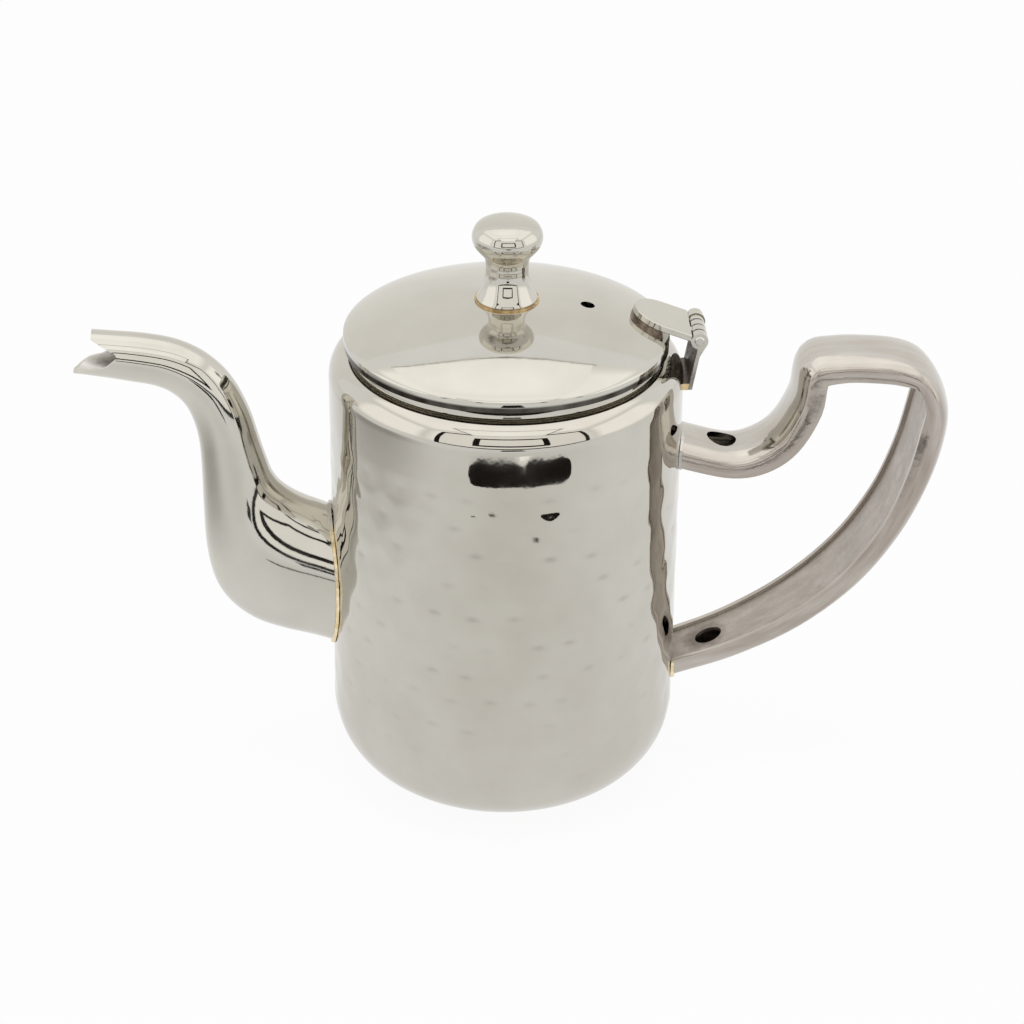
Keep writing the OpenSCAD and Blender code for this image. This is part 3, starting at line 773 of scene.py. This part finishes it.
def distance_from(tree, point, seen=(1, 1, 1)):
    """How far a point of the piece is from a fixed one, on the axes that are seen."""
    flat = tree.nodes.new("ShaderNodeVectorMath")
    flat.operation = "MULTIPLY"
    flat.inputs[1].default_value = seen
    gap = tree.nodes.new("ShaderNodeVectorMath")
    gap.operation = "DISTANCE"
    gap.inputs[1].default_value = point
    tree.links.new(tree.nodes.new("ShaderNodeTexCoord").outputs["Object"], flat.inputs[0])
    tree.links.new(flat.outputs["Vector"], gap.inputs[0])
    return gap.outputs["Value"]


def drain_scale(tree):
    ragged = calc(tree, "MULTIPLY_ADD", noise(tree, 450, 4), SCALE_RAGGED,
                  distance_from(tree, SCALE_CENTRE))
    return map_range(tree, ragged, 11 * MM, 7.5 * MM, 0, 0.7)


def rolled_steel():
    material, tree, shader = new_metal("rolled handle strip", (0.46, 0.41, 0.375))
    add_tones(tree, shader, lengthwise(tree, 90, 260), (0.43, 0.395, 0.355), (0.52, 0.48, 0.44))
    stain(tree, shader, spread(tree, noise(tree, 1100, 4), 0.0, 0.28), (0.3, 0.255, 0.22))
    stain(tree, shader, drain_scale(tree), (0.14, 0.11, 0.09))
    tree.links.new(spread(tree, noise(tree, 320, 4), 0.36, 0.5), shader.inputs["Roughness"])
    add_bump(tree, shader, noise(tree, 1500, 3), 0.02 * MM)
    return material


strip = swept("handle_strip", [(0, v) for v in np.linspace(1, -1, 7)],
              list(handle_stations(lambda w: w / 2 - CHANNEL_SHEET - SLACK, lambda d: d / 2,
                                   lambda d: -d / 2 + PLATE)))
apply_modifier(strip, "SOLIDIFY", thickness=PLATE, offset=1, use_even_offset=True)
cut(strip, pot_rod(), rod(DRAIN, DRAIN_R, 16 * MM))
measure_along(strip)
finish_piece(strip, "handle_strip", POT, rolled_steel(), 40)

# %% [markdown]
# ## The hinge's shape
# The leaves are stamped plates whose ends are rolled round a pin. Their shape is right in the
# frame, but its edges are perfectly sharp, and real ones are filed until they catch the light. So a
# copy of each piece is cleaned of its flat triangles, and its free edges get a small flat. Rolled
# knuckles are rounded at their ends, which shows as a dark groove at each gap, so rings are cut out
# there.

# %% Cleaning and chamfering a copy of a piece
def copy_of(name, node):
    """A copy of a frame's piece, its points joined and its flat triangles made one face."""
    mesh = frame["nodes"][node].data.copy()
    piece = bpy.data.objects.new(name, mesh)
    mesh.name = name
    bpy.context.collection.objects.link(piece)
    pick(piece)
    bpy.ops.object.mode_set(mode="EDIT")
    bpy.ops.mesh.select_all(action="SELECT")
    bpy.ops.mesh.remove_doubles(threshold=0.005 * MM)
    bpy.ops.mesh.dissolve_limited(angle_limit=math.radians(1))
    bpy.ops.object.mode_set(mode="OBJECT")
    return piece


def chamfer(piece, wanted, width):
    """Cuts a small flat on the sharp edges whose two ends are both wanted."""
    bpy.ops.object.mode_set(mode="EDIT")
    bpy.ops.mesh.select_mode(type="EDGE")
    bpy.ops.mesh.select_all(action="DESELECT")
    bpy.ops.mesh.edges_select_sharp(sharpness=math.radians(40))
    bpy.ops.object.mode_set(mode="OBJECT")
    points = piece.data.vertices
    for edge in piece.data.edges:
        if not all(wanted(points[i].co) for i in edge.vertices):
            edge.select = False
    print(piece.name, "edges chamfered:", sum(edge.select for edge in piece.data.edges))
    bpy.ops.object.mode_set(mode="EDIT")
    bpy.ops.mesh.bevel(offset=width, segments=1, affect="EDGES", clamp_overlap=True)
    bpy.ops.mesh.select_mode(type="VERT")
    bpy.ops.object.mode_set(mode="OBJECT")


# %% Rings for the grooves between the knuckles
PIN_X, PIN_Z = HINGE["pos_m"][0], HINGE["pos_m"][2]
LEAF_W = 17 * MM
KNUCKLES = 5
KNUCKLE_GAP = 0.3 * MM
KNUCKLE_R = 2.4 * MM
GROOVE_DEPTH = 0.55 * MM
GROOVE_HALF = 0.85 * MM
CHAMFER = 0.38 * MM
PIN_CHAMFER = 0.3 * MM


def grooves():
    """V-shaped rings, one for each gap between two knuckles."""
    pitch = (LEAF_W + KNUCKLE_GAP) / KNUCKLES
    out, deep = KNUCKLE_R + 0.3 * MM, KNUCKLE_R - GROOVE_DEPTH
    outline = [(deep, 0), (out, GROOVE_HALF), (out, -GROOVE_HALF), (deep, 0)]
    for k in range(1, KNUCKLES):
        ring = turned("groove", outline, 48)
        ring.rotation_euler = (math.pi / 2, 0, 0)
        ring.location = (PIN_X, -LEAF_W / 2 + k * pitch - KNUCKLE_GAP / 2, PIN_Z)
        pick(ring)
        bpy.ops.object.transform_apply(location=True, rotation=True, scale=True)
        yield ring


# %% [markdown]
# ## The hinge's finish
# The inner faces of the leaves, in the gap towards the pot, are painted brown: painted shade. That
# brown is not a mirror, so the metal itself goes where the painted shade comes. The grooves between
# the knuckles are painted dark: painted shade in the recesses.

# %% Hinge steel with painted shade
# The brown of the painted shade in the gaps between the hinge's leaves and the pot.
GAP_SHADE_BROWN = (0.1, 0.075, 0.06)
LEAF_END = 8.44 * MM


# Painted shade on the faces that look towards the pot, below the pin.
def gap_painted_shade(tree):
    faces_pot = place_on(tree, "X", -0.05, -0.4, "Normal")
    under_pin = place_on(tree, "Z", 140 * MM, 137.5 * MM)
    burnt = calc(tree, "MULTIPLY", faces_pot, under_pin)
    return calc(tree, "MULTIPLY", burnt, spread(tree, noise(tree, 500, 3), 0.6, 1.0))


def groove_painted_shade(tree):
    """Painted shade in the grooves near the pin's line, but not on the two flat ends of the hinge.
    """
    deep = map_range(tree, distance_from(tree, (PIN_X, 0, PIN_Z), (1, 0, 1)), 2.36 * MM, 2.15 * MM)
    for side in (-1, 1):
        inner = place_on(tree, "Y", side * LEAF_END, side * 8.3 * MM)
        deep = calc(tree, "MULTIPLY", deep, inner)
    return deep


def matte_painted_shade(material, amount):
    """Takes the shine off the painted shade: without this, even a dark metal shines when it is seen
    along its face.
    """
    tree = material.node_tree
    shader = tree.nodes["Principled BSDF"]
    tree.links.new(calc(tree, "SUBTRACT", 1, amount(tree)), shader.inputs["Metallic"])
    shader.inputs["Specular IOR Level"].default_value = 0


HINGE_STEEL = steel_with("hinge steel", rough=(0.06, 0.16), ripple=0.02,
                         stains=[(gap_painted_shade, GAP_SHADE_BROWN), (groove_painted_shade, (0.03, 0.025, 0.02))])
matte_painted_shade(HINGE_STEEL, gap_painted_shade)
PIN_STEEL = polished_steel("bright pin", (0.72, 0.7, 0.66), (0.6, 0.58, 0.54), (0.15, 0.25), 0.02)

# %% The two leaves and the pin
leaf = copy_of("hinge_leaf_of_lid", "lid_hinge_leaf")
chamfer(leaf, lambda co: co.x < PIN_X - 3.4 * MM, CHAMFER)
cut(leaf, *grooves())
finish_piece(leaf, "lid_hinge_leaf", LID, HINGE_STEEL, 30)
leaf = copy_of("hinge_leaf_of_pot", "body_hinge_leaf")
chamfer(leaf, lambda co: co.z < PIN_Z - 3.6 * MM, CHAMFER)
cut(leaf, *grooves())
finish_piece(leaf, "body_hinge_leaf", POT, HINGE_STEEL, 30)
pin = copy_of("riveted_pin", "hinge_pin")
chamfer(pin, lambda co: True, PIN_CHAMFER)
finish_piece(pin, "hinge_pin", POT, PIN_STEEL, 30)

# %% [markdown]
# ## Small pieces
# The lid's flange and the fillets of braze and weld have their right shape in the frame. They only
# get their finish here. The braze is a yellow alloy with a softer, pitted skin. Where it sits under
# and behind the hinge's leaves it is painted dark brown: painted shade in the gaps. At the upper end
# of the spout's root it was rubbed back to the steel's colour.

# %% Braze, weld and the flange
def braze_metal(name, dark, light, rough, stained=None):
    """Braze of two tones; stained is an axis, where the stain starts and is full, and a colour."""
    material, tree, shader = new_metal(name, light)
    add_tones(tree, shader, noise(tree, 400, 3), dark, light)
    tree.links.new(spread(tree, noise(tree, 700), *rough), shader.inputs["Roughness"])
    add_bump(tree, shader, noise(tree, 900, 3), 0.06 * MM)
    if stained:
        axis, start, stop, colour = stained
        stain(tree, shader, place_on(tree, axis, start, stop), colour)
    return material


BRAZE = braze_metal("yellow braze", (0.78, 0.62, 0.36), (0.95, 0.84, 0.6), (0.22, 0.42),
                    ("Z", 80.5 * MM, 82.5 * MM, (0.6, 0.58, 0.55)))
SMALL = {
    "lid_flange": polished_steel("plain pressed steel", (0.4, 0.375, 0.34), (0.33, 0.31, 0.28),
                                 (0.2, 0.34), 0.01),
    "knob_braze": braze_metal("braze under the knob", (0.4, 0.27, 0.14), (0.72, 0.55, 0.3),
                              (0.25, 0.45)),
    # Painted shade: the braze under the lid's leaf is dark brown all over.
    "lid_leaf_braze": braze_metal("braze under the leaf, in painted shade", (0.13, 0.1, 0.08), (0.34, 0.28, 0.23),
                                  (0.18, 0.38)),
    # Painted shade: the braze behind the pot's leaf is dark brown, all but its front end.
    "body_leaf_braze": braze_metal("braze behind the leaf, in painted shade", (0.7, 0.52, 0.26), (0.9, 0.74, 0.45),
                                   (0.22, 0.4), ("Y", -8.42 * MM, -8.2 * MM, GAP_SHADE_BROWN)),
    "spout_braze": BRAZE,
    "handle_lower_braze": BRAZE,
    "handle_upper_weld": polished_steel("hand smoothed weld", (0.62, 0.6, 0.57), (0.5, 0.48, 0.45),
                                        (0.12, 0.35), 0.2)}
for node, material in SMALL.items():
    mesh = frame["nodes"][node].data
    for i in range(len(mesh.materials)):
        mesh.materials[i] = material
    if not mesh.materials:
        mesh.materials.append(material)
print("finished", len(SMALL), "small pieces")

# %% [markdown]
# ## The floor
# The floor is white and keeps the pot's soft shadow. Lighting it to full white would be too much
# light for the metal, so nearly all of what the camera sees of it is its own glow, and three
# quarters of what the metal sees. The rest is a plain white that takes the shadow.

# %% The floor's material
UPRIGHT = (math.pi / 2, 0, 0)
SIDEWAYS = (math.pi / 2, 0, math.pi / 2)
FLAT = (0, 0, 0)


def stage_material(name):
    """An empty material, with its tree and the socket that its surface goes to."""
    material = bpy.data.materials.new(name)
    material.use_nodes = True
    tree = material.node_tree
    tree.nodes.clear()
    return material, tree, tree.nodes.new("ShaderNodeOutputMaterial").inputs["Surface"]


def shining(tree, strength, tint=(1, 1, 1)):
    light = tree.nodes.new("ShaderNodeEmission")
    light.inputs["Color"].default_value = (*tint, 1)
    light.inputs["Strength"].default_value = strength
    return light


def mix_shaders(tree, amount, first, second):
    mix = tree.nodes.new("ShaderNodeMixShader")
    for socket, source in zip(mix.inputs, (amount, first.outputs[0], second.outputs[0])):
        tree.links.new(source, socket)
    return mix.outputs[0]


def floor_material(name, colour, camera_share, metal_share):
    """A plain colour that also glows, by one share to the camera and by another in the metal."""
    material, tree, surface = stage_material(name)
    plain = tree.nodes.new("ShaderNodeBsdfDiffuse")
    plain.inputs["Color"].default_value = (*colour, 1)
    rays = tree.nodes.new("ShaderNodeLightPath").outputs
    amount = calc(tree, "ADD", calc(tree, "MULTIPLY", rays["Is Camera Ray"], camera_share),
                  calc(tree, "MULTIPLY", rays["Is Glossy Ray"], metal_share))
    tree.links.new(mix_shaders(tree, amount, plain, shining(tree, 1)), surface)
    return material


def stage_card(name, size, location, rotation, material, only_in_metal=True):
    clear_selection()
    bpy.ops.mesh.primitive_plane_add(size=1, location=location, rotation=rotation)
    card = bpy.context.object
    card.name = name
    card.scale = (*size, 1)
    put_on_stage(card, material, only_in_metal)


def put_on_stage(card, material, only_in_metal=True):
    card.data.materials.append(material)
    if only_in_metal:
        card.visible_camera = card.visible_diffuse = card.visible_shadow = False


FLOOR = floor_material("white floor", (0.9, 0.9, 0.9), 0.93, 0.75)
stage_card("floor", (6, 6), (0, 0, 0), FLAT, FLOOR, only_in_metal=False)
print("made", FLOOR.name)

# %% [markdown]
# ## Cards that shine
# Polished metal shows the room, so the room is most of the look. Each part of it is a card that
# shines and is only seen in the metal. Cloth is brighter in its middle, and a shade on the floor
# has no hard border, so a card can fade at its edges to another level, or to nothing.

# %% Shining materials
def glow(name, level, tint=(1, 1, 1), edge_level=None, edge=0.2, clear=False):
    """A card that only shines, and may fade at its edges to another level, or to clear."""
    material, tree, surface = stage_material(name)
    light = shining(tree, level, tint)
    tree.links.new(light.outputs[0], surface)
    if edge_level is None and not clear:
        return material
    across, up = (map_range(tree, calc(tree, "ABSOLUTE", axis_of(tree, axis)), 0.5, 0.5 - edge,
                            kind="SMOOTHSTEP") for axis in ("X", "Y"))
    inner = calc(tree, "MULTIPLY", across, up)
    if clear:
        open_air = tree.nodes.new("ShaderNodeBsdfTransparent")
        tree.links.new(mix_shaders(tree, inner, open_air, light), surface)
    else:
        strength = map_range(tree, inner, 0, 1, edge_level, level)
        tree.links.new(strength, light.inputs["Strength"])
    return material


BRIGHT = glow("bright tent panel", 1.34, (1, 0.985, 0.96), 1.0, 0.16)
SOFTBOX = glow("softbox cloth", 1.4, (1, 0.985, 0.965), 1.3, 0.4)
ROOM = glow("room beyond the tent", 1.1, (1, 0.98, 0.95))
BACK = glow("back of the tent", 0.95, (1, 0.985, 0.96))
SHADE = glow("shaded floor", 0.82, (1, 0.99, 0.97), edge=0.5, clear=True)
LEFT_SHADE = glow("darker floor on the left", 0.42, (1, 0.97, 0.94), edge=0.4, clear=True)
DARK = glow("dark card", 0.015, (1, 0.85, 0.75))
EDGE_DARK = glow("dark tape", 0.3, (1, 0.9, 0.82))
print("made", [card.name for card in (BRIGHT, SOFTBOX, ROOM, BACK, SHADE, LEFT_SHADE, DARK)])

# %% [markdown]
# ## The tent
# The room is a white tent all round, with the few dark things that a real tent has: the opening
# for the camera and the frame of a light in it, the edges of the softbox overhead, and the end of
# the table. Without them the metal would be one flat grey.

# %% Frames and floor shapes
def stage_frame(name, size, centre, rotation, width, material):
    """Four thin cards round a rectangle."""
    w, h = size
    turn = Euler(rotation).to_matrix()
    bars = {"top": (0, h / 2, w + width, width), "bottom": (0, -h / 2, w + width, width),
            "left": (-w / 2, 0, width, h), "right": (w / 2, 0, width, h)}
    for side, (u, v, long, high) in bars.items():
        middle = Vector(centre) + turn @ Vector((u, v, 0))
        stage_card(name + "_" + side, (long, high), middle, rotation, material)


def stage_diamond(name, centre, radii, material):
    """A flat spot on the floor with four points."""
    clear_selection()
    bpy.ops.mesh.primitive_circle_add(vertices=4, radius=1, fill_type="NGON", location=centre)
    spot = bpy.context.object
    spot.name = name
    spot.scale = (*radii, 1)
    put_on_stage(spot, material)


def stage_arc(name, radii, angles, height, material):
    """A band on the floor, round the pot, with rounded ends; its angles are from the front."""
    inner, outer = radii
    start, stop = (math.radians(a) - math.pi / 2 for a in angles)
    middle, half = (inner + outer) / 2, (outer - inner) / 2
    round_end = math.radians(7)
    bends = np.linspace(0.2, math.pi - 0.2, 9)
    edge = [(outer, a) for a in np.linspace(start, stop, 25)]
    edge += [(middle + half * math.cos(t), stop + round_end * math.sin(t)) for t in bends]
    edge += [(inner, a) for a in np.linspace(stop, start, 25)]
    edge += [(middle - half * math.cos(t), start - round_end * math.sin(t)) for t in bends]
    points = [(r * math.cos(a), r * math.sin(a), height) for r, a in edge]
    draw_outline(name, points + points[:1], closed=True)
    bpy.ops.mesh.edge_face_add()
    bpy.ops.object.mode_set(mode="OBJECT")
    put_on_stage(bpy.context.object, material)


# %% The tent's cards
OPENING, HOOD = (1.78, 0.92), (0.5, 0.3)
stage_card("roof", (2.4, 1.6), (0, -0.08, 1.1), FLAT, BRIGHT)
stage_card("softbox", (0.48, 0.385), (-0.04, 0.123, 0.6), FLAT, SOFTBOX)
stage_card("left_panel", (1.3, 1.1), (-1.2, -0.25, 0.55), SIDEWAYS, BRIGHT)
stage_card("right_panel", (1.3, 1.1), (1.2, -0.25, 0.55), SIDEWAYS, BRIGHT)
stage_card("front_panel", (2.4, 1.1), (0, -0.87, 0.55), UPRIGHT, BRIGHT)
stage_card("opening", OPENING, (0.06, -0.86, 0.46), UPRIGHT, ROOM)
stage_frame("opening_edge", OPENING, (0.06, -0.855, 0.46), UPRIGHT, 0.09, DARK)
stage_frame("camera_light", (0.66, 0.42), (0.02, -0.85, 0.375), UPRIGHT, 0.07, DARK)
stage_card("back_panel", (3, 1.6), (0, 1.4, 0.7), UPRIGHT, BACK)
stage_card("front_floor", (0.62, 0.6), (0, -0.24, 0.001), FLAT, SHADE)
stage_card("left_floor", (0.46, 0.6), (-0.38, -0.02, 0.0012), FLAT, LEFT_SHADE)
stage_card("softbox_back_edge", (0.5, 0.006), (-0.04, 0.315, 0.598), FLAT, EDGE_DARK)
stage_card("camera_hood", HOOD, (0, -0.4, 0.599), FLAT, SOFTBOX)
stage_frame("camera_hood_edge", HOOD, (0, -0.4, 0.598), FLAT, 0.014, EDGE_DARK)
stage_card("dark_table_edge", (0.14, 0.2), (0.02, -0.6, 0.002), FLAT, DARK)
stage_arc("dark_table_end", (0.261, 0.282), (-17, 30), 0.003, DARK)
stage_diamond("table_highlight", (0.043, -0.281, 0.004), (0.034, 0.0095), BRIGHT)

# %% [markdown]
# ## Light
# The world is white: full to the camera and in metal or glass, and lower for what it sheds on dull
# surfaces. One soft lamp overhead gives the shadow under the pot. It is kept out of the metal,
# because the cards already show there.

# %% The world and the lamp
WORLD_LIGHT = 0.75
world = bpy.data.worlds.new("white tent")
bpy.context.scene.world = world
world.use_nodes = True
sky = world.node_tree
rays = sky.nodes.new("ShaderNodeLightPath").outputs
seen = calc(sky, "ADD", rays["Is Camera Ray"], rays["Is Glossy Ray"])
seen = calc(sky, "ADD", seen, rays["Is Transmission Ray"])
background = sky.nodes["Background"].inputs
background["Color"].default_value = (1, 1, 1, 1)
sky.links.new(map_range(sky, seen, 0, 1, WORLD_LIGHT, 1), background["Strength"])


def aimed(place, target):
    """The turn about X and about Z that points a lamp or a camera at its target."""
    look = np.array(target) - np.array(place)
    return math.atan2(math.hypot(look[0], look[1]), -look[2]), -math.atan2(look[0], look[1])


lamp = bpy.data.lights.new("top softbox", "AREA")
lamp.shape = "RECTANGLE"
lamp.size, lamp.size_y = 0.5, 0.35
lamp.energy = 1.6
box = bpy.data.objects.new("top softbox", lamp)
bpy.context.collection.objects.link(box)
box.location = (0.0, -0.12, 0.95)
tip, swing = aimed(box.location, (0, 0, 0.1))
box.rotation_euler = (tip, 0, swing)
box.visible_glossy = False
print("the lamp gives", lamp.energy, "W")

# %% [markdown]
# ## The camera
# The camera looks down on the pot from the front, with a long lens that keeps the upright wall
# nearly straight, and with a small roll.

# %% The camera
TARGET = (0, 0, 0.07)
ROLL = math.radians(0.6)
bpy.ops.object.select_all(action="DESELECT")
lens = bpy.data.cameras.new("camera")
camera = bpy.data.objects.new("camera", lens)
bpy.context.collection.objects.link(camera)
camera.location = (-0.0354, -0.8102, 0.5251)
tip, swing = aimed(camera.location, TARGET)
camera.rotation_euler = (tip, 0, swing)
camera.rotation_euler.rotate_axis("Z", ROLL)
lens.sensor_width = 36
lens.lens = 112.5
lens.shift_x = 0.0076
lens.shift_y = 0.036
bpy.context.scene.camera = camera
bpy.context.scene.view_settings.view_transform = "Standard"
print("the camera looks down by", round(90 - math.degrees(tip), 2), "degrees")
